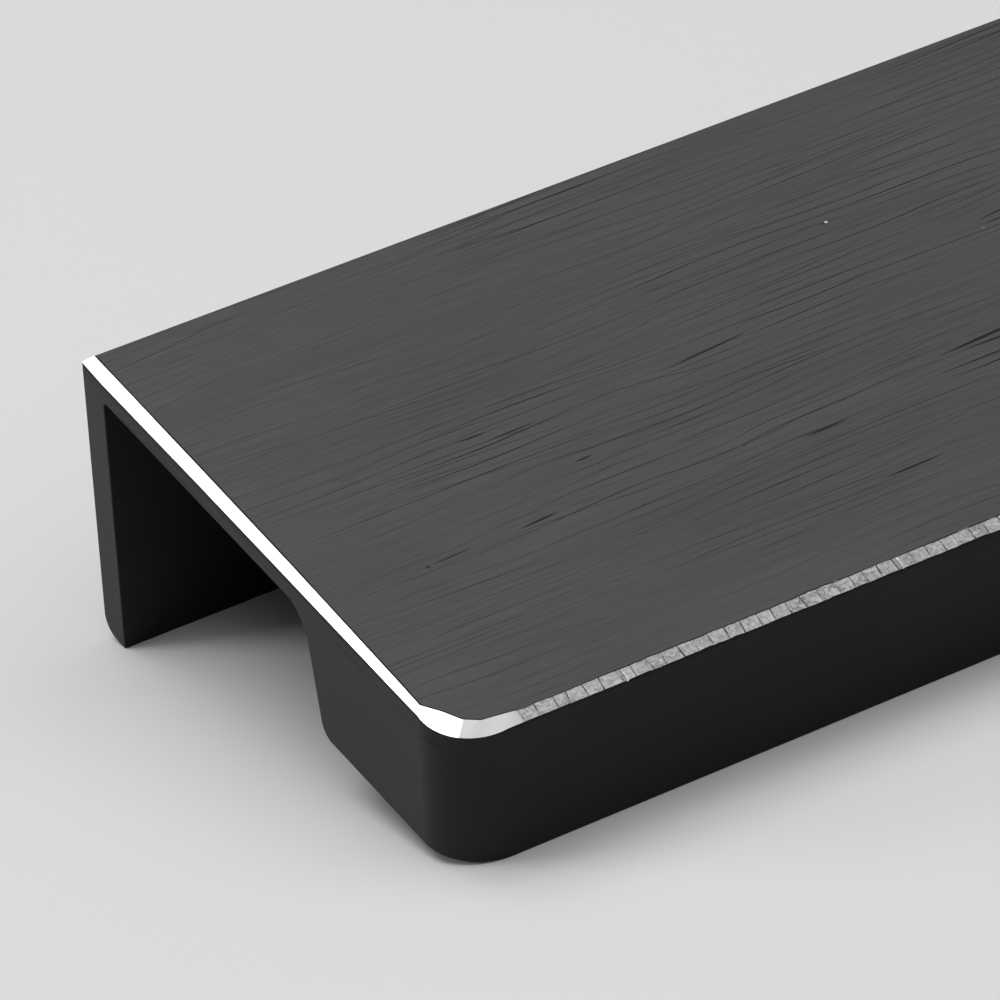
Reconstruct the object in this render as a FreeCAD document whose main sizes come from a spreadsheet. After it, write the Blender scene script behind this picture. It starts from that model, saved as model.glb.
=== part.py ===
import FreeCAD, Part
import math
import os
import Sketcher

# Tab pull, one piece of aluminium cut from a drawn profile and then machined.
# X runs along the pull, Y from the finger lip back to the mounting leg, Z is up.
# The origin is the middle of the two screw holes, on the leg's mounting face.

FIXED_SIZES = [
    ("pull_length", 100.0, "whole length, guessed because the far end is cut off"),
    ("pull_depth", 45.0, "front of the lip to the outer face of the leg"),
    ("leg_height", 21.0, "foot of the leg to the top face"),
    ("leg_thickness", 2.6, "mounting leg"),
    ("plate_thickness", 1.6, "top plate"),
    ("lip_height", 9.8, "top face to the foot of the lip"),
    ("lip_depth_top", 17.5, "lip at the plate's underside"),
    ("lip_depth_foot", 15.8, "lip at its foot, the inner face leans"),
    ("lip_root_radius", 2.5, "blend from lip into plate"),
    ("lip_foot_radius", 1.2, "inner lower edge of the lip"),
    ("leg_root_radius", 0.4, "blend from leg into plate"),
    ("leg_foot_radius", 1.3, "outer lower edge of the leg"),
    ("back_edge_radius", 0.15, "top back edge, eased"),
    ("front_corner_radius", 3.8, "upright corners of the lip, seen from above"),
    ("bevel_width", 0.85, "bright cut bevel, measured on the top face"),
    ("bevel_drop", 0.2, "bright cut bevel, measured downwards"),
    ("screw_spacing", 64.0, "between the two screw holes"),
    ("screw_height", 9.5, "screw line above the leg's foot"),
    ("screw_diameter", 4.5, "clearance for a four millimetre screw"),
    ("sink_diameter", 8.4, "countersink on the outer face of the leg"),
    ("sink_angle", 90.0, "whole angle of the countersink"),
    ("drill_overrun", 0.5, "how far the drill passes the mounting face"),
]

# Two coordinates count as the same within SAME, and the checks look SKIN away from a face.
SAME = 1e-4
SKIN = 0.1
SIZE_LIMIT = 0.01


def put_sizes(doc):
    sheet = doc.addObject("Spreadsheet::Sheet", "Sizes")
    for row, (alias, value, note) in enumerate(FIXED_SIZES, start=1):
        sheet.set("A%d" % row, alias)
        sheet.set("B%d" % row, str(value))
        sheet.set("C%d" % row, note)
        sheet.setAlias("B%d" % row, alias)
    doc.recompute()
    return {alias: value for alias, value, note in FIXED_SIZES}


def origin_plane(body, role):
    for feature in body.Origin.OriginFeatures:
        if feature.Role == role:
            return feature
    raise RuntimeError("no origin plane " + role)


def named_length(sketch, kind, ends, name, start, formula):
    place = sketch.addConstraint(Sketcher.Constraint(kind, *ends, start))
    sketch.renameConstraint(place, name)
    sketch.setExpression("Constraints." + name, formula)


def section_sketch(body, size):
    """The closed section of the profile up to the bevel, in the plane across its length."""
    sketch = body.newObject("Sketcher::SketchObject", "Section")
    sketch.AttachmentSupport = [(origin_plane(body, "YZ_Plane"), "")]
    sketch.MapMode = "FlatFace"

    foot = -size["screw_height"]
    top = foot + size["leg_height"]
    shoulder = top - size["bevel_drop"]
    under = top - size["plate_thickness"]
    lip_foot = top - size["lip_height"]
    back = size["leg_thickness"]
    front = back - size["pull_depth"]
    corners = [
        (0.0, foot),
        (back, foot),
        (back, shoulder),
        (front, shoulder),
        (front, lip_foot),
        (front + size["lip_depth_foot"], lip_foot),
        (front + size["lip_depth_top"], under),
        (0.0, under),
    ]
    count = len(corners)
    for place in range(count):
        start = FreeCAD.Vector(corners[place][0], corners[place][1], 0)
        end = corners[(place + 1) % count]
        sketch.addGeometry(Part.LineSegment(start, FreeCAD.Vector(end[0], end[1], 0)), False)
    for place in range(count):
        sketch.addConstraint(Sketcher.Constraint("Coincident", place, 2, (place + 1) % count, 1))
    for place in (0, 2, 4, 6):
        sketch.addConstraint(Sketcher.Constraint("Horizontal", place))
    for place in (1, 3, 7):
        sketch.addConstraint(Sketcher.Constraint("Vertical", place))

    sketch.addConstraint(Sketcher.Constraint("PointOnObject", 0, 1, -2))
    named_length(sketch, "DistanceY", (0, 1, -1, 1), "foot_below_screws",
                 size["screw_height"], "Sizes.screw_height")
    named_length(sketch, "DistanceX", (0, 1, 0, 2), "leg_across",
                 size["leg_thickness"], "Sizes.leg_thickness")
    named_length(sketch, "DistanceY", (1, 1, 1, 2), "leg_up",
                 shoulder - foot, "Sizes.leg_height - Sizes.bevel_drop")
    named_length(sketch, "DistanceX", (2, 2, 2, 1), "depth_across",
                 size["pull_depth"], "Sizes.pull_depth")
    named_length(sketch, "DistanceY", (3, 2, 3, 1), "lip_down",
                 shoulder - lip_foot, "Sizes.lip_height - Sizes.bevel_drop")
    named_length(sketch, "DistanceX", (4, 1, 4, 2), "lip_across_foot",
                 size["lip_depth_foot"], "Sizes.lip_depth_foot")
    named_length(sketch, "DistanceX", (3, 1, 5, 2), "lip_across_top",
                 size["lip_depth_top"], "Sizes.lip_depth_top")
    named_length(sketch, "DistanceY", (5, 2, 3, 1), "plate_down",
                 shoulder - under, "Sizes.plate_thickness - Sizes.bevel_drop")
    return sketch


def pad_section(body, sketch):
    pad = body.newObject("PartDesign::Pad", "ProfileLength")
    pad.Profile = sketch
    pad.SideType = "Symmetric"
    pad.setExpression("Length", "Sizes.pull_length")
    sketch.Visibility = False
    return pad


def edges_at(shape, test):
    names = []
    for number, edge in enumerate(shape.Edges, start=1):
        box = edge.BoundBox
        if test(box, edge):
            names.append("Edge%d" % number)
    return names


def near(first, second):
    return abs(first - second) < SAME


def runs_along(box, y, z):
    """True for an edge along the pull's length at the given place in the section."""
    return box.XLength > 1.0 and near(box.YMin, y) and near(box.YMax, y) \
        and near(box.ZMin, z) and near(box.ZMax, z)


def round_edges(body, base, name, names, formula):
    if not names:
        raise RuntimeError("no edges for " + name)
    fillet = body.newObject("PartDesign::Fillet", name)
    fillet.Base = (base, names)
    fillet.setExpression("Radius", formula)
    body.Document.recompute()
    return fillet


def screw_holes(body, size):
    """Two countersunk screw holes, sunk from the outer face of the leg."""
    sketch = body.newObject("Sketcher::SketchObject", "ScrewCentres")
    sketch.AttachmentSupport = [(origin_plane(body, "XZ_Plane"), "")]
    sketch.MapMode = "FlatFace"
    sketch.MapReversed = True
    sketch.setExpression("AttachmentOffset.Base.z", "Sizes.leg_thickness")
    half = size["screw_spacing"] / 2
    radius = size["screw_diameter"] / 2
    for side in (-1, 1):
        circle = Part.Circle(FreeCAD.Vector(side * half, 0, 0), FreeCAD.Vector(0, 0, 1), radius)
        sketch.addGeometry(circle, False)
    sketch.addConstraint(Sketcher.Constraint("PointOnObject", 0, 3, -1))
    sketch.addConstraint(Sketcher.Constraint("Symmetric", 0, 3, 1, 3, -1, 1))
    sketch.addConstraint(Sketcher.Constraint("Equal", 0, 1))
    named_length(sketch, "DistanceX", (0, 3, 1, 3), "hole_spacing",
                 size["screw_spacing"], "Sizes.screw_spacing")
    named_length(sketch, "Diameter", (0,), "hole_size",
                 size["screw_diameter"], "Sizes.screw_diameter")
    body.Document.recompute()

    hole = body.newObject("PartDesign::Hole", "CountersunkHoles")
    hole.Profile = sketch
    body.Document.recompute()
    hole.ThreadType = 0
    hole.HoleCutType = 2
    hole.DepthType = 0
    hole.DrillPoint = 0
    hole.setExpression("Depth", "Sizes.leg_thickness + Sizes.drill_overrun")
    hole.setExpression("Diameter", "Sizes.screw_diameter")
    hole.setExpression("HoleCutDiameter", "Sizes.sink_diameter")
    hole.setExpression("HoleCutCountersinkAngle", "Sizes.sink_angle")
    body.Document.recompute()
    sketch.Visibility = False
    return hole


def outline_sketch(body, size, name, inset, height, inset_formula, height_formula):
    """The pull seen from above, with its two round front corners, at one height."""
    sketch = body.newObject("Sketcher::SketchObject", name)
    sketch.AttachmentSupport = [(origin_plane(body, "XY_Plane"), "")]
    sketch.MapMode = "FlatFace"
    sketch.AttachmentOffset = FreeCAD.Placement(FreeCAD.Vector(0, 0, height), FreeCAD.Rotation())
    sketch.setExpression("AttachmentOffset.Base.z", height_formula)

    half = size["pull_length"] / 2 - inset
    back = size["leg_thickness"]
    front = back - size["pull_depth"] + inset
    radius = size["front_corner_radius"] - inset
    up = FreeCAD.Vector(0, 0, 1)
    quarter = math.pi / 2

    def line(x1, y1, x2, y2):
        start = FreeCAD.Vector(x1, y1, 0)
        sketch.addGeometry(Part.LineSegment(start, FreeCAD.Vector(x2, y2, 0)), False)

    def corner(x, start_angle):
        circle = Part.Circle(FreeCAD.Vector(x, front + radius, 0), up, radius)
        sketch.addGeometry(Part.ArcOfCircle(circle, start_angle, start_angle + quarter), False)

    line(half, back, -half, back)
    line(-half, back, -half, front + radius)
    corner(-half + radius, 2 * quarter)
    line(-half + radius, front, half - radius, front)
    corner(half - radius, 3 * quarter)
    line(half, front + radius, half, back)
    sketch.addConstraint(Sketcher.Constraint("Coincident", 0, 2, 1, 1))
    sketch.addConstraint(Sketcher.Constraint("Coincident", 5, 2, 0, 1))
    for place in (1, 2, 3, 4):
        sketch.addConstraint(Sketcher.Constraint("Tangent", place, 2, place + 1, 1))
    sketch.addConstraint(Sketcher.Constraint("Horizontal", 3))
    for place in (1, 5):
        sketch.addConstraint(Sketcher.Constraint("Vertical", place))
    sketch.addConstraint(Sketcher.Constraint("Equal", 2, 4))
    sketch.addConstraint(Sketcher.Constraint("Symmetric", 0, 2, 0, 1, -2))
    named_length(sketch, "DistanceX", (0, 2, 0, 1), "whole_length",
                 2 * half, "Sizes.pull_length - 2 * " + inset_formula)
    named_length(sketch, "DistanceY", (3, 1, 0, 2), "front_to_back",
                 back - front, "Sizes.pull_depth - " + inset_formula)
    named_length(sketch, "DistanceY", (-1, 1, 0, 1), "back_place", back, "Sizes.leg_thickness")
    named_length(sketch, "Radius", (4,), "corner_radius",
                 radius, "Sizes.front_corner_radius - " + inset_formula)
    body.Document.recompute()
    sketch.Visibility = False
    return sketch


def bright_bevel(body, size):
    """Top layer, with the shallow bevel round both ends, the front corners and the front."""
    top = size["leg_height"] - size["screw_height"]
    top_formula = "Sizes.leg_height - Sizes.screw_height"
    lower = outline_sketch(body, size, "BevelFoot", 0.0, top - size["bevel_drop"],
                           "0", top_formula + " - Sizes.bevel_drop")
    upper = outline_sketch(body, size, "BevelTop", size["bevel_width"], top,
                           "Sizes.bevel_width", top_formula)
    loft = body.newObject("PartDesign::AdditiveLoft", "BrightBevel")
    loft.Profile = lower
    loft.Sections = [upper]
    loft.Ruled = True
    body.Document.recompute()
    return loft


def build_pull_body(doc, size):
    body = doc.addObject("PartDesign::Body", "PullBody")
    body.Label = "pull_body"
    doc.recompute()
    pad = pad_section(body, section_sketch(body, size))
    doc.recompute()

    foot = -size["screw_height"]
    top = foot + size["leg_height"]
    under = top - size["plate_thickness"]
    lip_foot = top - size["lip_height"]
    back = size["leg_thickness"]
    front = back - size["pull_depth"]
    half = size["pull_length"] / 2

    names = edges_at(pad.Shape, lambda box, edge:
                     runs_along(box, front + size["lip_depth_top"], under))
    step = round_edges(body, pad, "LipRoot", names, "Sizes.lip_root_radius")
    names = edges_at(step.Shape, lambda box, edge:
                     runs_along(box, front + size["lip_depth_foot"], lip_foot))
    step = round_edges(body, step, "LipFoot", names, "Sizes.lip_foot_radius")
    names = edges_at(step.Shape, lambda box, edge: runs_along(box, 0.0, under))
    step = round_edges(body, step, "LegRoot", names, "Sizes.leg_root_radius")
    names = edges_at(step.Shape, lambda box, edge: runs_along(box, back, foot))
    step = round_edges(body, step, "LegFoot", names, "Sizes.leg_foot_radius")
    names = edges_at(step.Shape, lambda box, edge: near(box.YMin, front) and near(box.YMax, front)
                     and near(abs(box.XMin), half) and near(box.XMin, box.XMax)
                     and box.ZLength > 1.0)
    step = round_edges(body, step, "FrontCorners", names, "Sizes.front_corner_radius")
    step = bright_bevel(body, size)
    names = edges_at(step.Shape, lambda box, edge: runs_along(box, back, top))
    step = round_edges(body, step, "BackEdge", names, "Sizes.back_edge_radius")
    step = screw_holes(body, size)
    body.Tip = step
    doc.recompute()
    return body


def check_features(doc):
    for item in doc.Objects:
        states = [state for state in item.State if state in ("Invalid", "Error")]
        if states:
            raise RuntimeError(item.Name + " is " + ", ".join(states))


def holds(shape, x, y, z):
    """True where the solid has metal."""
    return shape.isInside(FreeCAD.Vector(x, y, z), SAME, True)


def check_box(shape, size):
    top = size["leg_height"] - size["screw_height"]
    back = size["leg_thickness"]
    half = size["pull_length"] / 2
    box = shape.optimalBoundingBox()
    wanted = (-half, half, back - size["pull_depth"], back, -size["screw_height"], top)
    found = (box.XMin, box.XMax, box.YMin, box.YMax, box.ZMin, box.ZMax)
    for first, second in zip(wanted, found):
        if abs(first - second) > SIZE_LIMIT:
            raise RuntimeError("the pull has the wrong box: " + str(found))


def check_holes(shape, size):
    back = size["leg_thickness"]
    sink_edge = size["sink_diameter"] / 2 - SKIN
    bore_edge = size["screw_diameter"] / 2 + SKIN
    lip_middle = back - size["pull_depth"] + size["lip_depth_foot"] / 2
    lip_low = size["leg_height"] - size["screw_height"] - size["lip_height"] + SKIN
    for centre in (-size["screw_spacing"] / 2, size["screw_spacing"] / 2):
        if holds(shape, centre, SKIN, 0.0) or holds(shape, centre, back - SKIN, 0.0):
            raise RuntimeError("a screw hole is not open")
        if holds(shape, centre + sink_edge, back - SKIN / 5, 0.0):
            raise RuntimeError("a countersink is missing")
        if not holds(shape, centre + bore_edge, SKIN, 0.0):
            raise RuntimeError("a countersink goes through the leg")
        if not holds(shape, centre, lip_middle, lip_low):
            raise RuntimeError("a screw hole reaches the lip")


def check_front(shape, size):
    top = size["leg_height"] - size["screw_height"]
    half = size["pull_length"] / 2
    front = size["leg_thickness"] - size["pull_depth"]
    middle = front + size["pull_depth"] / 2
    half_drop = top - size["bevel_drop"] / 2
    if holds(shape, half - SKIN, front + SKIN, top - size["lip_height"] / 2):
        raise RuntimeError("the front corners are not round")
    if holds(shape, half - size["bevel_width"] / 4, middle, half_drop):
        raise RuntimeError("the end bevel is missing")
    if not holds(shape, half - size["bevel_width"] * 3 / 4, middle, half_drop):
        raise RuntimeError("the end bevel is the wrong way round")


def check_solid(shape, size):
    if shape.isNull() or not shape.isValid() or len(shape.Solids) != 1:
        raise RuntimeError("the pull is not one valid solid")
    check_box(shape, size)
    check_holes(shape, size)
    check_front(shape, size)


def main():
    doc = FreeCAD.newDocument("TabPull")
    size = put_sizes(doc)
    body = build_pull_body(doc, size)
    check_features(doc)
    check_solid(body.Shape, size)
    os.makedirs("parts", exist_ok=True)
    body.Shape.exportStep("parts/pull_body.step")
    box = body.Shape.optimalBoundingBox()
    print("volume", round(body.Shape.Volume, 3))
    print("box", [round(v, 3) for v in (box.XMin, box.YMin, box.ZMin, box.XMax, box.YMax, box.ZMax)])
    for feature in body.Group:
        if feature.isDerivedFrom("PartDesign::Feature"):
            print(feature.Name, round(feature.Shape.Volume, 3))


main()
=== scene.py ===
import math
import random
import bpy
import bmesh
from mathutils import Matrix, Vector


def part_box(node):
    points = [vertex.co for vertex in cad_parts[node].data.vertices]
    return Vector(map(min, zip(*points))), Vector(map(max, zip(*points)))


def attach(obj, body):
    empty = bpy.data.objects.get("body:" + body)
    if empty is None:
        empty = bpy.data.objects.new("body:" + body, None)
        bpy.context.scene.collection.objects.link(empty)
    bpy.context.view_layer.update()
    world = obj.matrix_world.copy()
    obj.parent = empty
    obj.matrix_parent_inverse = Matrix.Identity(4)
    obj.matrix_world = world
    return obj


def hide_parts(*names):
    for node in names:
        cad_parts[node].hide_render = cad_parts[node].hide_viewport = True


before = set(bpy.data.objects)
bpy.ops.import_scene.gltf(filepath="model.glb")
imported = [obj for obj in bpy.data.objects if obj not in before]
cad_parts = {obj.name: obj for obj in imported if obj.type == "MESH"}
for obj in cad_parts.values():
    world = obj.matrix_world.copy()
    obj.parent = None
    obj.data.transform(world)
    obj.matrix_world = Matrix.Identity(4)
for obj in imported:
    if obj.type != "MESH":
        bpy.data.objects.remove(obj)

MM = 0.001
NODE = "pull_body"
low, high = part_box(NODE)
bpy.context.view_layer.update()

# Outer sizes come from the frame, in millimetres. The section's own sizes repeat the drawing's.
HALF = (high.x - low.x) / 2 / MM
FRONT = low.y / MM
BACK = high.y / MM
FOOT = low.z / MM
TOP = high.z / MM
LEG_THICKNESS = 2.6
PLATE_THICKNESS = 1.6
LIP_HEIGHT = 9.8
LIP_DEPTH_TOP = 17.5
LIP_DEPTH_FOOT = 15.8
LIP_ROOT_RADIUS = 2.5
LIP_FOOT_RADIUS = 1.2
LEG_ROOT_RADIUS = 0.4
LEG_FOOT_RADIUS = 1.3
CORNER_RADIUS = 3.8
BEVEL_DROP = 0.2
SCREW_SPACING = 64.0
SCREW_DIAMETER = 4.5
SINK_DIAMETER = 8.4
EDGE_RADIUS = 0.08

# The bright bevel is cut by hand. Along each end, from back to front: how far along the end,
# how wide it is on the top face, and how far it comes down the side.
END_CUT = (
    (0.0, 0.90, 0.07),
    (2.5, 0.89, 0.20),
    (6.0, 0.87, 0.18),
    (14.0, 0.83, 0.13),
    (25.0, 0.75, 0.14),
    (33.0, 0.62, 0.17),
    (38.0, 0.54, 0.18),
)
# Round each front corner its inner line has short straight cuts, which meet at these places:
# millimetres from the end and from the front.
CORNER_CUT = ((0.48, 4.40), (1.25, 3.20), (1.85, 1.95), (2.75, 1.27), (3.90, 1.10), (4.70, 0.96))
# Its lower edge comes down to this depth in the middle of the corner. The two powers shape that dip.
CORNER_DROP = 0.46
DROP_LEAN = 0.9
DROP_FULLNESS = 0.8
FRONT_WIDTH = 0.86
FRONT_DROP = 0.22
# A thin dark rim lies inside the inner line.
RIM_WIDTH = 0.12
# Fine ticks cross the front bevel. Their places, slants, widths and depths vary by these amounts,
# and so do the bevel's own width and drop.
TICK_PITCH = 1.06
TICK_WIDTH = 0.10
TICK_DEPTH = 0.05
FIRST_TICK_GAP = 0.35
TICK_SHIFT = 0.13
TICK_SLANT = 0.10
TICK_WIDTH_RANGE = (0.55, 1.35)
TICK_DEPTH_RANGE = (0.5, 1.3)
TICK_TOP_SHARE = 0.8
WIDTH_SPREAD = 0.035
DROP_SPREAD = 0.02
EVEN_EDGE = 0.018
ROUGH_EDGE = 0.045
ROUGH_SHARE = 0.25
POINTS_BETWEEN = (0.36, 0.64)
SCATTER_SEED = 7
# Two small burrs hang below the front bevel: millimetres along the pull, and how far they hang.
BURRS = ((-38.2, 0.13), (-19.2, 0.07))
BURR_HALF = 0.12
BURR_REACH = (0.3, 0.7)
# Small marks on the top face: millimetres along and across the pull, radius and grey level.
MARKS = (
    (-3.9, -10.44, 0.13, 0.55),
    (-4.16, -10.50, 0.11, 0.008),
    (-42.57, -27.06, 0.17, 0.005),
    (-20.64, -27.31, 0.11, 0.008),
    (3.95, -16.42, 0.17, 0.10),
)
# The few stronger dark strokes in the grain: both ends, and half the width.
STROKES = (
    (-21.40, -18.19, -13.60, -17.53, 0.10),
    (-6.69, -26.28, 3.20, -25.72, 0.17),
    (-4.91, -26.47, 2.50, -26.75, 0.12),
    (-7.87, -27.80, 2.00, -27.80, 0.09),
    (-5.11, -28.61, 0.30, -28.35, 0.08),
    (3.60, -15.65, 9.00, -15.05, 0.10),
    (3.90, -16.14, 7.20, -16.08, 0.09),
    (-17.47, -28.63, -13.66, -28.50, 0.12),
    (-15.69, -34.71, -10.61, -34.62, 0.11),
    (-30.14, -23.09, -28.62, -23.03, 0.10),
    (-42.60, -27.02, -39.20, -26.90, 0.07),
    (-36.44, -26.95, -33.10, -26.71, 0.12),
    (-35.21, -17.45, -32.83, -17.58, 0.09),
    (-33.54, -18.31, -29.57, -18.29, 0.09),
)

SHOULDER = TOP - BEVEL_DROP
UNDER = TOP - PLATE_THICKNESS
LIP_FOOT = TOP - LIP_HEIGHT
INNER = BACK - LEG_THICKNESS

# How finely each cut, arc, hole and eased edge is divided, and how far the cutter stands out of the leg.
CUT_STEPS = 4
CORNER_STEPS = CUT_STEPS * (len(CORNER_CUT) - 1)
ARC_STEPS = 16
HOLE_STEPS = 64
EASE_STEPS = 3
CUTTER_SPARE = 1.0
# Faces of at least this area, in square millimetres, are flat sides and shade flat. Edges shade
# smoothly under the first angle and are eased above the second, both in degrees.
FLAT_AREA = 60.0
SMOOTH_ANGLE = 12
SHARP_ANGLE = 25

# The finishes, in the order of the material slots.
SIDE_SLOT, TOP_SLOT, BEVEL_SLOT, NOTCH_SLOT, RIM_SLOT = range(5)
TOP_WARM = (0.0566, 0.0555, 0.0543, 1.0)
TOP_COOL = (0.0498, 0.0526, 0.0540, 1.0)
SIDE_COLOUR = (0.0240, 0.0238, 0.0232, 1.0)
RIM_COLOUR = (0.052, 0.049, 0.046, 1.0)
RIM_END_COLOUR = (0.030, 0.027, 0.024, 1.0)
RIM_END_DARK = (0.006, 0.005, 0.004, 1.0)
RIM_FLECK = (0.16, 0.13, 0.11, 1.0)
# The height in millimetres that a bump of one stands for.
BUMP_DEPTH = 0.02

# Each set of grain lines: millimetres between lines, how much they waver, where their noise starts,
# and half a line's width.
WIDE_GRAIN = (1.20, 4.4, (3.1, 7.7, 1.3), 0.065)
CLOSE_GRAIN = (0.80, 6.0, (8.4, 2.2, 5.9), 0.060)
# The noise that makes them waver, the millimetres over which its slope is taken, and how quickly
# their strength changes along a line and from one line to the next.
WAVER_STRETCH = (30, 190, 10)
SLOPE_STEP = 0.05
FADE_ALONG = 95.0
FADE_ACROSS = 5.37

# The floor's half width in millimetres and its grey level, and how bright the world is where it
# lights matt surfaces and where it is seen or mirrored.
FLOOR_REACH = 1500.0
FLOOR_LEVEL = 0.73
WORLD_LIGHT = 0.12
WORLD_SEEN = 0.72
LAMP_TARGET = (0, -0.02, 0)
# The lamps: name, place in metres, size in metres and watts.
LAMPS = (
    ("key", (-0.25, 0.42, 0.88), 0.7, 4.5),
    ("back", (0.0, 0.75, 0.72), 0.5, 0.6),
    ("side", (-0.78, 0.62, 0.10), 0.4, 3.3),
    ("overhead", (0.1, -0.26, 1.0), 1.4, 6.9),
)
# The camera was fitted to the photo's edges. Its place is in millimetres in the pull's frame.
CAMERA_PLACE = (-201.58, -322.20, 272.41)
CAMERA_AZIMUTH = -29.073
CAMERA_ELEVATION = 37.388
CAMERA_ROLL = 2.718
CAMERA_LENS = 258.58
SENSOR = 36.0


def rounded(before, corner, after, radius):
    """Points of the arc that rounds one corner of an outline."""
    corner = Vector(corner)
    inward = (Vector(before) - corner).normalized()
    onward = (Vector(after) - corner).normalized()
    half_angle = inward.angle(onward) / 2
    reach = radius / math.tan(half_angle)
    centre = corner + (inward + onward).normalized() * (radius / math.sin(half_angle))
    start = corner + inward * reach - centre
    end = corner + onward * reach - centre
    turn = start.angle(end)
    points = []
    for step in range(ARC_STEPS + 1):
        share = step / ARC_STEPS
        first = math.sin((1 - share) * turn) / math.sin(turn)
        second = math.sin(share * turn) / math.sin(turn)
        points.append(centre + start * first + end * second)
    return points


def section_line():
    """The section as (y, z) points, from the back of the lip's foot round to the back of the leg's."""
    start = (FRONT + CORNER_RADIUS, LIP_FOOT)
    lip_low = (FRONT + LIP_DEPTH_FOOT, LIP_FOOT)
    lip_high = (FRONT + LIP_DEPTH_TOP, UNDER)
    leg_high = (INNER, UNDER)
    leg_low = (INNER, FOOT)
    leg_back = (BACK, FOOT)
    end = (BACK, SHOULDER)
    line = rounded(start, lip_low, lip_high, LIP_FOOT_RADIUS)
    line += rounded(lip_low, lip_high, leg_high, LIP_ROOT_RADIUS)
    line += rounded(lip_high, leg_high, leg_low, LEG_ROOT_RADIUS)
    line.append(Vector(leg_low))
    line += rounded(leg_low, leg_back, end, LEG_FOOT_RADIUS)
    return line


def corner_outline(angle):
    """A point of the wall's rounded corner, at an angle turned from the end towards the front."""
    x = -HALF + CORNER_RADIUS * (1 - math.cos(angle))
    y = FRONT + CORNER_RADIUS * (1 - math.sin(angle))
    return (x, y)


def corner_drop(angle):
    """The bevel comes further down in the middle of each corner."""
    share = angle / (math.pi / 2)
    start = END_CUT[-1][2] + (FRONT_DROP - END_CUT[-1][2]) * share
    return start + (CORNER_DROP - start) * math.sin(math.pi * share ** DROP_LEAN) ** DROP_FULLNESS


def corner_top(step):
    """A point of the bevel's inner line round the corner, where short straight cuts meet."""
    place, part = divmod(step, CUT_STEPS)
    if place == len(CORNER_CUT) - 1:
        place, part = place - 1, CUT_STEPS
    share = part / CUT_STEPS
    first, second = CORNER_CUT[place], CORNER_CUT[place + 1]
    across = first[0] + (second[0] - first[0]) * share
    along = first[1] + (second[1] - first[1]) * share
    return (-HALF + across, FRONT + along)


def left_lines():
    """The wall's outline and the bevel's inner line along the left end and round its corner.

    Each outline point is (x, y, drop) and each inner point is (x, y)."""
    wall, top = [], []
    for reach, width, drop in END_CUT:
        wall.append((-HALF, BACK - reach, drop))
        top.append((-HALF + width, BACK - reach))
    for step in range(CORNER_STEPS + 1):
        angle = math.pi / 2 * step / CORNER_STEPS
        wall.append(corner_outline(angle) + (corner_drop(angle),))
        top.append(corner_top(step))
    return wall, top


def points_between(middle, pitch):
    """Where the edge has points between two ticks: how far past the first, and how far a burr hangs."""
    for place, hang in BURRS:
        if middle < place < middle + pitch:
            apart = min(max(place - middle, pitch * BURR_REACH[0]), pitch * BURR_REACH[1])
            return ((apart - BURR_HALF, 0.0), (apart, hang), (apart + BURR_HALF, 0.0))
    return [(pitch * share, 0.0) for share in POINTS_BETWEEN]


def front_lines():
    """The same two lines along the front, notched at each tick, and which spans are notches."""
    draw = random.Random(SCATTER_SEED)
    wall, top, notches = [], [], []
    reach = HALF - CORNER_CUT[-1][0] - FIRST_TICK_GAP
    count = int(2 * reach / TICK_PITCH)
    pitch = 2 * reach / count
    for number in range(count + 1):
        middle = -reach + pitch * number + draw.uniform(-TICK_SHIFT, TICK_SHIFT)
        slant = draw.uniform(-TICK_SLANT, TICK_SLANT)
        width = FRONT_WIDTH + draw.uniform(-WIDTH_SPREAD, WIDTH_SPREAD)
        drop = FRONT_DROP + draw.uniform(-DROP_SPREAD, DROP_SPREAD)
        deep = TICK_DEPTH * draw.uniform(*TICK_DEPTH_RANGE)
        half = TICK_WIDTH / 2 * draw.uniform(*TICK_WIDTH_RANGE)
        for side, extra in ((-1, 0.0), (0, deep), (1, 0.0)):
            wall.append((middle + slant + side * half, FRONT, drop + extra))
            top.append((middle + side * half * TICK_TOP_SHARE, FRONT + width))
        notches += [False, True, True]
        if number == count:
            break
        rough = ROUGH_EDGE if draw.random() < ROUGH_SHARE else EVEN_EDGE
        for apart, hang in points_between(middle, pitch):
            wall.append((middle + apart, FRONT, drop + hang + draw.uniform(-rough, rough)))
            top.append((middle + apart, FRONT + width + draw.uniform(-rough, rough)))
            notches.append(False)
    return wall, top, notches + [False]


def whole_lines():
    """Both lines from the left end round the front to the right end, and which spans are notches."""
    end_wall, end_top = left_lines()
    front_wall, front_top, notches = front_lines()
    wall = end_wall + front_wall + [(-x, y, drop) for x, y, drop in reversed(end_wall)]
    top = end_top + front_top + [(-x, y) for x, y in reversed(end_top)]
    plain = [False] * (len(end_wall) - 1)
    return wall, top, plain + notches + plain


def rim_point(x, y):
    """The point just inside the bevel's inner line, where the thin dark rim ends."""
    side = math.copysign(1.0, x)
    centre = HALF - CORNER_CUT[-1][0]
    over = max(abs(x) - centre, 0.0)
    ahead = max(FRONT + CORNER_CUT[0][1] - y, 0.0)
    if over == 0.0:
        return (x, y + RIM_WIDTH)
    if ahead == 0.0:
        return (x - side * RIM_WIDTH, y)
    length = math.hypot(over, ahead)
    return (x - side * RIM_WIDTH * over / length, y + RIM_WIDTH * ahead / length)


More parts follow.
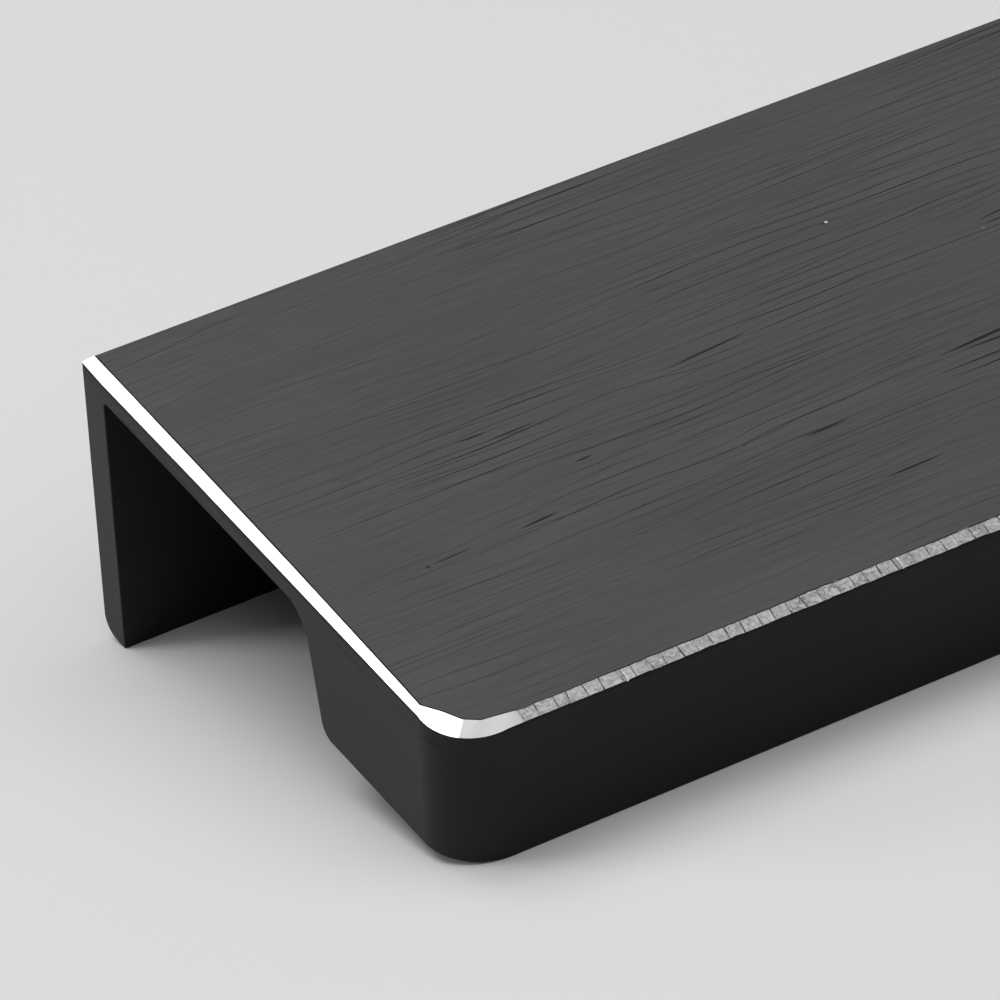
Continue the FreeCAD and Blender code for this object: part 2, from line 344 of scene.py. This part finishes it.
def add_walls(mesh, left, right, wall, shoulder):
    """The round corners, the front, the lip's foot and both ends, up to the bevel's lower edge."""
    edge_of_end = len(END_CUT)
    first_corner = list(range(edge_of_end, edge_of_end + CORNER_STEPS + 1))
    last_corner = [len(wall) - 1 - place for place in reversed(first_corner)]
    low_places = [wall[place] for place in first_corner + last_corner]
    lower = [mesh.verts.new((x, y, LIP_FOOT)) for x, y, drop in low_places]
    for row, start in ((first_corner, 0), (last_corner, len(first_corner))):
        for step, place in enumerate(row[:-1]):
            bottom = lower[start + step:start + step + 2]
            mesh.faces.new((bottom[0], bottom[1], shoulder[place + 1], shoulder[place]))
    front_row = shoulder[first_corner[-1]:last_corner[0] + 1]
    mesh.faces.new([lower[len(first_corner)], lower[len(first_corner) - 1]] + front_row)
    mesh.faces.new([right[0]] + lower[::-1] + [left[0]])
    mesh.faces.new([lower[0]] + left + shoulder[:edge_of_end + 1])
    mesh.faces.new([lower[-1]] + right + shoulder[:-edge_of_end - 2:-1])


def add_bevel(mesh, kind, notches, shoulder, inner, rim):
    """The bright bevel with its notches, the thin rim inside it, and the top face."""
    for notch, first, second, third, fourth in zip(notches, shoulder, shoulder[1:], inner[1:], inner):
        face = mesh.faces.new((first, second, third, fourth))
        face[kind] = NOTCH_SLOT if notch else BEVEL_SLOT
    for first, second, third, fourth in zip(inner, inner[1:], rim[1:], rim):
        mesh.faces.new((first, second, third, fourth))[kind] = RIM_SLOT
    mesh.faces.new(rim)[kind] = TOP_SLOT


def pull_mesh():
    """The pull as one closed mesh, before its edges are eased and its holes are cut."""
    mesh = bmesh.new()
    kind = mesh.faces.layers.int.new("kind")
    section = section_line()
    left = [mesh.verts.new((-HALF, point.x, point.y)) for point in section]
    right = [mesh.verts.new((HALF, point.x, point.y)) for point in section]
    for first, second, third, fourth in zip(left, left[1:], right[1:], right):
        mesh.faces.new((first, second, third, fourth))

    wall, top, notches = whole_lines()
    shoulder = [mesh.verts.new((x, y, TOP - drop)) for x, y, drop in wall]
    inner = [mesh.verts.new((x, y, TOP)) for x, y in top]
    rim = [mesh.verts.new(rim_point(x, y) + (TOP,)) for x, y in top]
    add_walls(mesh, left, right, wall, shoulder)
    right_back = [right[-1], shoulder[-1], inner[-1], rim[-1]]
    mesh.faces.new([left[-1]] + right_back + [rim[0], inner[0], shoulder[0]])
    add_bevel(mesh, kind, notches, shoulder, inner, rim)
    bmesh.ops.recalc_face_normals(mesh, faces=mesh.faces)
    return mesh


def put_object(mesh, name):
    data = bpy.data.meshes.new(name)
    bmesh.ops.scale(mesh, vec=(MM, MM, MM), verts=mesh.verts)
    mesh.to_mesh(data)
    mesh.free()
    piece = bpy.data.objects.new(name, data)
    bpy.context.scene.collection.objects.link(piece)
    return piece


def apply_modifiers(piece):
    bpy.context.view_layer.update()
    graph = bpy.context.evaluated_depsgraph_get()
    data = bpy.data.meshes.new_from_object(piece.evaluated_get(graph))
    piece.modifiers.clear()
    old = piece.data
    piece.data = data
    bpy.data.meshes.remove(old)


def hole_cutter():
    """Drill and countersink for both screw holes, as turned outlines about the screws' axes."""
    bore = SCREW_DIAMETER / 2
    sink = SINK_DIAMETER / 2
    outline = (
        (bore, INNER - CUTTER_SPARE),
        (bore, BACK - (sink - bore)),
        (sink, BACK),
        (sink + CUTTER_SPARE, BACK + CUTTER_SPARE),
    )
    mesh = bmesh.new()
    for side in (-1, 1):
        centre = side * SCREW_SPACING / 2
        rings = []
        for radius, y in outline:
            ring = []
            for step in range(HOLE_STEPS):
                angle = 2 * math.pi * step / HOLE_STEPS
                x = centre + radius * math.cos(angle)
                ring.append(mesh.verts.new((x, y, radius * math.sin(angle))))
            rings.append(ring)
        for ring, following in zip(rings, rings[1:]):
            for step in range(HOLE_STEPS):
                after = (step + 1) % HOLE_STEPS
                mesh.faces.new((ring[step], ring[after], following[after], following[step]))
        mesh.faces.new(rings[0])
        mesh.faces.new(rings[-1])
    bmesh.ops.recalc_face_normals(mesh, faces=mesh.faces)
    return put_object(mesh, "hole_cutter")


def cut_holes(piece):
    cutter = hole_cutter()
    cut = piece.modifiers.new("holes", "BOOLEAN")
    cut.operation = "DIFFERENCE"
    cut.solver = "EXACT"
    cut.object = cutter
    apply_modifiers(piece)
    bpy.data.objects.remove(cutter)


def mark_edges(piece):
    """Small curved faces shade smoothly, and sharp edges are marked for easing.

    The bright bevel keeps its sharp edges, because it is cut last."""
    mesh = bmesh.new()
    mesh.from_mesh(piece.data)
    kind = mesh.faces.layers.int.get("kind")
    weight = mesh.edges.layers.float.new("bevel_weight_edge")
    for face in mesh.faces:
        face.smooth = True
    for edge in mesh.edges:
        angle = edge.calc_face_angle()
        kinds = {face[kind] for face in edge.link_faces}
        small = max(face.calc_area() for face in edge.link_faces) < FLAT_AREA * MM * MM
        edge.smooth = angle < math.radians(SMOOTH_ANGLE) and small and len(kinds) == 1
        if angle > math.radians(SHARP_ANGLE) and kinds == {SIDE_SLOT}:
            edge[weight] = 1.0
    mesh.to_mesh(piece.data)
    mesh.free()


def ease_edges(piece):
    """Every other sharp edge gets the small radius of a tumbled and anodised profile."""
    mark_edges(piece)
    ease = piece.modifiers.new("eased", "BEVEL")
    ease.width = EDGE_RADIUS * MM
    ease.segments = EASE_STEPS
    ease.limit_method = "WEIGHT"
    ease.use_clamp_overlap = True
    ease.harden_normals = True
    apply_modifiers(piece)


class Nodes:
    """A small helper that adds shader nodes and links them in one call."""

    def __init__(self, name):
        self.material = bpy.data.materials.new(name)
        self.material.use_nodes = True
        self.tree = self.material.node_tree
        self.tree.nodes.clear()

    def add(self, kind, settings=None, **inputs):
        node = self.tree.nodes.new("ShaderNode" + kind)
        for key, value in (settings or {}).items():
            setattr(node, key, value)
        for key, value in inputs.items():
            self.feed(node.inputs[key.replace("_", " ")], value)
        return node

    def feed(self, socket, value):
        if isinstance(value, bpy.types.NodeSocket):
            self.tree.links.new(value, socket)
        else:
            socket.default_value = value

    def math(self, operation, first, second=0.0):
        node = self.add("Math", {"operation": operation})
        self.feed(node.inputs[0], first)
        self.feed(node.inputs[1], second)
        return node.outputs[0]

    def scaled(self, vector, scale, shift=(0, 0, 0)):
        node = self.add("Mapping")
        self.feed(node.inputs["Vector"], vector)
        node.inputs["Scale"].default_value = scale
        node.inputs["Location"].default_value = shift
        return node.outputs["Vector"]

    def noise(self, vector, scale, detail=2.0, roughness=0.5):
        node = self.add("TexNoise", Vector=vector, Scale=scale, Detail=detail, Roughness=roughness)
        return node.outputs["Fac"]

    def span(self, value, from_low, from_high, to_low, to_high):
        node = self.add("MapRange", {"clamp": True})
        self.feed(node.inputs["Value"], value)
        for key, number in (("From Min", from_low), ("From Max", from_high),
                            ("To Min", to_low), ("To Max", to_high)):
            node.inputs[key].default_value = number
        return node.outputs["Result"]

    def mix(self, share, first, second, blend="MIX"):
        node = self.add("Mix", {"data_type": "RGBA", "blend_type": blend})
        self.feed(node.inputs[0], share)
        self.feed(node.inputs[6], first)
        self.feed(node.inputs[7], second)
        return node.outputs[2]

    def place(self):
        return self.add("TexCoord").outputs["Object"]

    def axis(self, place, letter):
        return self.add("SeparateXYZ", Vector=place).outputs[letter]

    def tint(self, tone, level):
        """Makes a colour lighter or darker by a level near one."""
        colour = self.add("CombineColor", Red=level, Green=level, Blue=level).outputs[0]
        return self.mix(1.0, tone, colour, "MULTIPLY")

    def bump(self, strength, height):
        node = self.add("Bump", Strength=strength, Distance=BUMP_DEPTH * MM, Height=height)
        return node.outputs["Normal"]

    def finish(self, surface):
        output = self.add("OutputMaterial")
        self.tree.links.new(surface, output.inputs["Surface"])
        return self.material

    def principled(self, **inputs):
        return self.finish(self.add("BsdfPrincipled", **inputs).outputs["BSDF"])


def grey(level):
    return (level, level, level, 1.0)


def grain_lines(nodes, place, grain):
    """Long dark lines along the pull that waver, bunch up and fade in and out.

    Gives how dark each point is and a random number for the strip between two lines."""
    pitch, waver, shift, width = grain
    beyond = (shift[0], shift[1] + WAVER_STRETCH[1] * SLOPE_STEP * MM, shift[2])
    wave = nodes.noise(nodes.scaled(place, WAVER_STRETCH, shift), 1.0, 2.0, 0.45)
    next_wave = nodes.noise(nodes.scaled(place, WAVER_STRETCH, beyond), 1.0, 2.0, 0.45)
    across = nodes.math("DIVIDE", nodes.axis(place, "Y"), pitch * MM)
    level = nodes.math("ADD", across, nodes.math("MULTIPLY", wave, waver))
    slope = nodes.math("MULTIPLY", nodes.math("SUBTRACT", next_wave, wave), waver / SLOPE_STEP)
    slope = nodes.math("ABSOLUTE", nodes.math("ADD", slope, 1 / pitch))
    apart = nodes.math("ABSOLUTE", nodes.math("SUBTRACT", nodes.math("FRACT", level), 0.5))
    apart = nodes.math("DIVIDE", apart, nodes.math("MAXIMUM", slope, 0.1))
    line = nodes.span(apart, width * 0.4, width, 1.0, 0.0)

    strip = nodes.math("MULTIPLY", nodes.math("FLOOR", level), FADE_ACROSS)
    along = nodes.math("MULTIPLY", nodes.axis(place, "X"), FADE_ALONG)
    where = nodes.add("CombineXYZ", X=along, Y=strip, Z=shift[2]).outputs[0]
    fade = nodes.noise(where, 1.0, 2.0, 0.55)
    common = nodes.span(fade, 0.36, 0.60, 0.04, 0.72)
    strongest = nodes.span(fade, 0.60, 0.68, 0.0, 0.28)
    return nodes.math("MULTIPLY", line, nodes.math("ADD", common, strongest)), fade


def add_marks(nodes, place, tone):
    """The few small specks and pits that the top face has."""
    for across, along, radius, level in MARKS:
        centre = nodes.add("CombineXYZ", X=across * MM, Y=along * MM, Z=TOP * MM).outputs[0]
        apart = nodes.add("VectorMath", {"operation": "DISTANCE"})
        nodes.feed(apart.inputs[0], place)
        nodes.feed(apart.inputs[1], centre)
        here = nodes.span(apart.outputs["Value"], radius * 0.6 * MM, radius * MM, 1.0, 0.0)
        tone = nodes.mix(here, tone, grey(level))
    return tone


def add_strokes(nodes, place, dark):
    """Each stroke is a dark spindle between its two ends, added to how dark the grain is."""
    for x1, y1, x2, y2, half_width in STROKES:
        start = Vector((x1, y1, TOP)) * MM
        run = Vector((x2, y2, TOP)) * MM - start
        aside = Vector((-run.y, run.x, 0)).normalized() / (half_width * MM)
        offset = nodes.add("VectorMath", {"operation": "SUBTRACT"})
        nodes.feed(offset.inputs[0], place)
        nodes.feed(offset.inputs[1], start)
        shares = []
        for direction in (run / run.length_squared, aside):
            along = nodes.add("VectorMath", {"operation": "DOT_PRODUCT"})
            nodes.feed(along.inputs[0], offset.outputs[0])
            nodes.feed(along.inputs[1], direction)
            shares.append(along.outputs["Value"])
        share, apart = shares
        left = nodes.math("SUBTRACT", 1.0, share)
        spindle = nodes.math("MULTIPLY", nodes.math("MULTIPLY", share, 4.0), left)
        inside = nodes.math("SUBTRACT", spindle, nodes.math("ABSOLUTE", apart))
        dark = nodes.math("MAXIMUM", dark, nodes.span(inside, 0.0, 0.5, 0.0, 0.9))
    return dark


def grain_share(nodes, place):
    """How much of the grain shows: less in broad patches, and less near the front and the ends."""
    cloud = nodes.noise(nodes.scaled(place, (38, 60, 10), (7.0, 3.0, 1.0)), 1.0, 2.0)
    from_front = nodes.math("SUBTRACT", nodes.axis(place, "Y"), FRONT * MM)
    from_end = nodes.math("SUBTRACT", HALF * MM, nodes.math("ABSOLUTE", nodes.axis(place, "X")))
    share = nodes.span(cloud, 0.36, 0.56, 0.35, 1.0)
    share = nodes.math("MULTIPLY", share, nodes.span(from_front, 1 * MM, 9 * MM, 0.55, 1.0))
    return nodes.math("MULTIPLY", share, nodes.span(from_end, 2 * MM, 16 * MM, 0.55, 1.0))


def grain_darkness(nodes, place, wide, close):
    """How dark the grain makes each point, with its short lines and its stronger strokes."""
    short = nodes.noise(nodes.scaled(place, (150, 5200, 100), (1.0, 6.0, 3.0)), 1.0, 2.0, 0.5)
    dark = nodes.math("MAXIMUM", wide, nodes.math("MULTIPLY", close, 0.8))
    dark = nodes.math("MAXIMUM", dark, nodes.span(short, 0.62, 0.76, 0.0, 0.6))
    return add_strokes(nodes, place, nodes.math("MULTIPLY", dark, grain_share(nodes, place)))


def grain_tone(nodes, place, brush, wide_strip, close_strip):
    """The brushed face between its dark lines, in warmer and cooler patches."""
    broad = nodes.noise(nodes.scaled(place, (34, 80, 10)), 1.0, 3.0, 0.5)
    patch = nodes.noise(nodes.scaled(place, (45, 140, 10), (4.0, 1.0, 2.0)), 1.0, 2.0, 0.5)
    level = nodes.span(brush, 0.3, 0.7, 0.87, 1.13)
    for value, swing in ((patch, 0.08), (wide_strip, 0.045), (close_strip, 0.035)):
        level = nodes.math("ADD", level, nodes.span(value, 0.3, 0.7, -swing, swing))
    tone = nodes.mix(nodes.span(broad, 0.42, 0.68, 0.0, 1.0), TOP_COOL, TOP_WARM)
    return nodes.tint(tone, level)


def brushed_top_material():
    nodes = Nodes("brushed_charcoal")
    place = nodes.place()
    wide, wide_strip = grain_lines(nodes, place, WIDE_GRAIN)
    close, close_strip = grain_lines(nodes, place, CLOSE_GRAIN)
    brush = nodes.noise(nodes.scaled(place, (260, 9000, 100)), 1.0, 4.0, 0.65)
    dark = grain_darkness(nodes, place, wide, close)
    tone = grain_tone(nodes, place, brush, wide_strip, close_strip)
    tone = add_marks(nodes, place, nodes.mix(dark, tone, grey(0.004)))
    normal = nodes.bump(0.2, nodes.math("SUBTRACT", nodes.math("MULTIPLY", brush, 0.5), dark))
    gloss = nodes.span(dark, 0.0, 1.0, 0.5, 0.05)
    return nodes.principled(Base_Color=tone, Metallic=0.6, Roughness=0.46, Specular_IOR_Level=gloss,
                            Normal=normal)


def side_shade(nodes, place):
    """Where the sides are darker: close under the bevel, and in fine scores on the plate's ends."""
    depth = nodes.math("SUBTRACT", TOP * MM, nodes.axis(place, "Z"))
    across = nodes.math("ABSOLUTE", nodes.axis(place, "X"))
    at_end = nodes.span(across, (HALF - 0.5) * MM, (HALF - 0.1) * MM, 0.0, 1.0)
    under_bevel = nodes.span(depth, 0.36 * MM, 0.52 * MM, 1.0, 0.0)
    under_bevel = nodes.math("MULTIPLY", under_bevel, nodes.span(at_end, 0.0, 1.0, 0.4, 1.0))
    scores = nodes.noise(nodes.scaled(place, (60, 70, 3800)), 1.0, 2.0)
    in_plate = nodes.span(depth, (PLATE_THICKNESS - 0.05) * MM, PLATE_THICKNESS * MM, 1.0, 0.0)
    scored = nodes.math("MULTIPLY", nodes.span(scores, 0.48, 0.60, 0.0, 0.6), in_plate)
    scored = nodes.math("MULTIPLY", scored, at_end)
    return nodes.math("MAXIMUM", under_bevel, scored)


def dark_side_material():
    nodes = Nodes("satin_charcoal")
    place = nodes.place()
    cloud = nodes.noise(nodes.scaled(place, (60, 60, 90)), 1.0, 3.0)
    drawn = nodes.noise(nodes.scaled(place, (60, 2600, 2600)), 1.0, 3.0, 0.6)
    speck = nodes.noise(place, 9000.0, 2.0)
    level = nodes.span(cloud, 0.3, 0.7, 0.92, 1.08)
    level = nodes.math("ADD", level, nodes.span(drawn, 0.3, 0.7, -0.05, 0.05))
    tone = nodes.mix(side_shade(nodes, place), nodes.tint(SIDE_COLOUR, level), grey(0.002))
    height = nodes.math("ADD", nodes.math("MULTIPLY", speck, 0.5), nodes.math("MULTIPLY", drawn, 0.5))
    return nodes.principled(Base_Color=tone, Metallic=0.6, Roughness=0.45, Specular_IOR_Level=0.02,
                            Normal=nodes.bump(0.15, height))


def ticked_tone(nodes, mottle, place):
    """The coarser metal of the front bevel, mottled and with a few dark smudges, its greys painted
    darker than the ends' as shade.
    """
    cloud = nodes.noise(place, 700.0, 2.0)
    vein = nodes.math("SUBTRACT", nodes.noise(place, 2100.0, 3.0, 0.6), 0.5)
    vein = nodes.span(nodes.math("ABSOLUTE", vein), 0.0, 0.05, 1.0, 0.0)
    smudge = nodes.math("MULTIPLY", vein, nodes.span(cloud, 0.48, 0.58, 0.0, 1.0))
    tone = nodes.mix(nodes.span(mottle, 0.34, 0.66, 0.0, 1.0), grey(0.17), grey(0.38))
    return nodes.mix(nodes.math("MULTIPLY", smudge, 0.8), tone, grey(0.07))


def bright_bevel_material():
    """Bare metal: near white along the ends and half round the corners as a painted highlight, and
    coarser along the front, where painted grey stands for shade.
    """
    nodes = Nodes("bright_cut_bevel")
    place = nodes.place()
    across = nodes.math("ABSOLUTE", nodes.axis(place, "X"))
    past_side = nodes.math("SUBTRACT", across, (HALF - CORNER_RADIUS) * MM)
    past_front = nodes.math("SUBTRACT", (FRONT + CORNER_RADIUS) * MM, nodes.axis(place, "Y"))
    lead = nodes.math("SUBTRACT", past_front, past_side)
    # Painted light: bevel faces turned towards the ends stay near white as a painted highlight, and
    # those turned towards the front are painted grey as shade.
    front_facing = nodes.span(lead, -0.05 * MM, 0.08 * MM, 0.0, 1.0)
    coarse = nodes.math("MULTIPLY", front_facing, nodes.span(past_side, -1.3 * MM, -0.9 * MM, 1.0, 0.0))

    mottle = nodes.noise(place, 4200.0, 4.0, 0.75)
    # The front half of each corner is painted a grey shade.
    corner_shade_grey = nodes.mix(nodes.span(lead, 0.0, 3.0 * MM, 0.0, 1.0), grey(0.30), grey(0.36))
    tone = nodes.mix(front_facing, grey(0.95), corner_shade_grey)
    tone = nodes.mix(coarse, tone, ticked_tone(nodes, mottle, place))
    normal = nodes.bump(0.2, nodes.math("MULTIPLY", mottle, coarse))
    rough = nodes.span(front_facing, 0.0, 1.0, 0.30, 0.42)
    return nodes.principled(Base_Color=tone, Metallic=0.75, Roughness=rough, Normal=normal)


def notch_material():
    nodes = Nodes("tick_mark")
    cloud = nodes.noise(nodes.place(), 1300.0, 2.0)
    tone = nodes.mix(nodes.span(cloud, 0.42, 0.60, 0.0, 1.0), grey(0.03), grey(0.24))
    return nodes.principled(Base_Color=tone, Metallic=0.4, Roughness=0.6)


def rim_material():
    """The thin dark line along the bevel's inner edge, stronger in places."""
    nodes = Nodes("cut_line")
    place = nodes.place()
    fade = nodes.span(nodes.noise(place, 160.0, 2.0), 0.40, 0.56, 0.0, 1.0)
    across = nodes.math("ABSOLUTE", nodes.axis(place, "X"))
    at_end = nodes.span(across, (HALF - 4.0) * MM, (HALF - 2.0) * MM, 0.0, 1.0)
    plain = nodes.mix(at_end, RIM_COLOUR, RIM_END_COLOUR)
    tone = nodes.mix(fade, plain, nodes.mix(at_end, grey(0.016), RIM_END_DARK))
    fleck = nodes.span(nodes.noise(place, 900.0, 2.0, 0.6), 0.66, 0.70, 0.0, 1.0)
    tone = nodes.mix(fleck, tone, RIM_FLECK)
    return nodes.principled(Base_Color=tone, Metallic=0.0, Roughness=0.6, Specular_IOR_Level=0.1)


def paint_faces(piece):
    """Each face gets the finish that its kind names."""
    materials = {
        SIDE_SLOT: dark_side_material(),
        TOP_SLOT: brushed_top_material(),
        BEVEL_SLOT: bright_bevel_material(),
        NOTCH_SLOT: notch_material(),
        RIM_SLOT: rim_material(),
    }
    for place in sorted(materials):
        piece.data.materials.append(materials[place])
    kinds = piece.data.attributes["kind"].data
    for face in piece.data.polygons:
        face.material_index = kinds[face.index].value
    piece.data.attributes.remove(piece.data.attributes["kind"])


def make_pull():
    piece = put_object(pull_mesh(), "pull_body_finish")
    cut_holes(piece)
    ease_edges(piece)
    paint_faces(piece)
    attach(piece, "root")
    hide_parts(NODE)


def floor_material():
    nodes = Nodes("pale_floor")
    paint = nodes.add("BsdfDiffuse", Color=grey(FLOOR_LEVEL))
    geometry = nodes.add("NewGeometry")
    clear = nodes.add("BsdfTransparent")
    either = nodes.add("MixShader")
    nodes.feed(either.inputs[0], geometry.outputs["Backfacing"])
    nodes.feed(either.inputs[1], paint.outputs[0])
    nodes.feed(either.inputs[2], clear.outputs[0])
    return nodes.finish(either.outputs[0])


def make_floor():
    """The pull stands on the front of its lip and on its leg, so the floor leans in its frame."""
    lip_rest = Vector((0, FRONT, LIP_FOOT))
    leg_rest = Vector((0, INNER, FOOT))
    slope = (leg_rest - lip_rest).normalized() * FLOOR_REACH
    sideways = Vector((FLOOR_REACH, 0, 0))
    mesh = bmesh.new()
    corners = []
    for along, across in ((-1, -1), (1, -1), (1, 1), (-1, 1)):
        corners.append(mesh.verts.new(lip_rest + sideways * along + slope * across))
    mesh.faces.new(corners)
    floor = put_object(mesh, "floor")
    floor.data.materials.append(floor_material())


def make_world():
    world = bpy.data.worlds.new("studio")
    bpy.context.scene.world = world
    world.use_nodes = True
    tree = world.node_tree
    tree.nodes.clear()
    background = tree.nodes.new("ShaderNodeBackground")
    background.inputs["Color"].default_value = grey(1.0)
    path = tree.nodes.new("ShaderNodeLightPath")
    strength = tree.nodes.new("ShaderNodeMapRange")
    strength.inputs["To Min"].default_value = WORLD_LIGHT
    strength.inputs["To Max"].default_value = WORLD_SEEN
    direct = tree.nodes.new("ShaderNodeMath")
    direct.operation = "MAXIMUM"
    tree.links.new(path.outputs["Is Camera Ray"], direct.inputs[0])
    tree.links.new(path.outputs["Is Glossy Ray"], direct.inputs[1])
    tree.links.new(direct.outputs[0], strength.inputs["Value"])
    tree.links.new(strength.outputs["Result"], background.inputs["Strength"])
    output = tree.nodes.new("ShaderNodeOutputWorld")
    tree.links.new(background.outputs[0], output.inputs["Surface"])


def add_lamp(name, place, size, watts):
    lamp = bpy.data.lights.new(name, "AREA")
    lamp.shape = "SQUARE"
    lamp.size = size
    lamp.energy = watts
    holder = bpy.data.objects.new(name, lamp)
    bpy.context.scene.collection.objects.link(holder)
    holder.location = place
    toward = Vector(LAMP_TARGET) - Vector(place)
    holder.rotation_euler = toward.to_track_quat("-Z", "Y").to_euler()


def make_lights():
    for lamp in LAMPS:
        add_lamp(*lamp)


def make_camera():
    turn = math.radians(CAMERA_AZIMUTH)
    lift = math.radians(CAMERA_ELEVATION)
    roll = math.radians(CAMERA_ROLL)
    ahead = Vector((-math.sin(turn) * math.cos(lift), math.cos(turn) * math.cos(lift), -math.sin(lift)))
    level = Vector((math.cos(turn), math.sin(turn), 0))
    down = ahead.cross(level)
    right = level * math.cos(roll) + down * math.sin(roll)
    below = down * math.cos(roll) - level * math.sin(roll)
    camera = bpy.data.cameras.new("camera")
    camera.lens = CAMERA_LENS
    camera.sensor_width = SENSOR
    camera.clip_start = 0.01
    holder = bpy.data.objects.new("camera", camera)
    bpy.context.scene.collection.objects.link(holder)
    facing = Matrix((right, -below, -ahead)).transposed().to_4x4()
    holder.matrix_world = Matrix.Translation(Vector(CAMERA_PLACE) * MM) @ facing
    bpy.context.scene.camera = holder


make_pull()
make_floor()
make_world()
make_lights()
make_camera()
bpy.context.scene.view_settings.view_transform = "Standard"
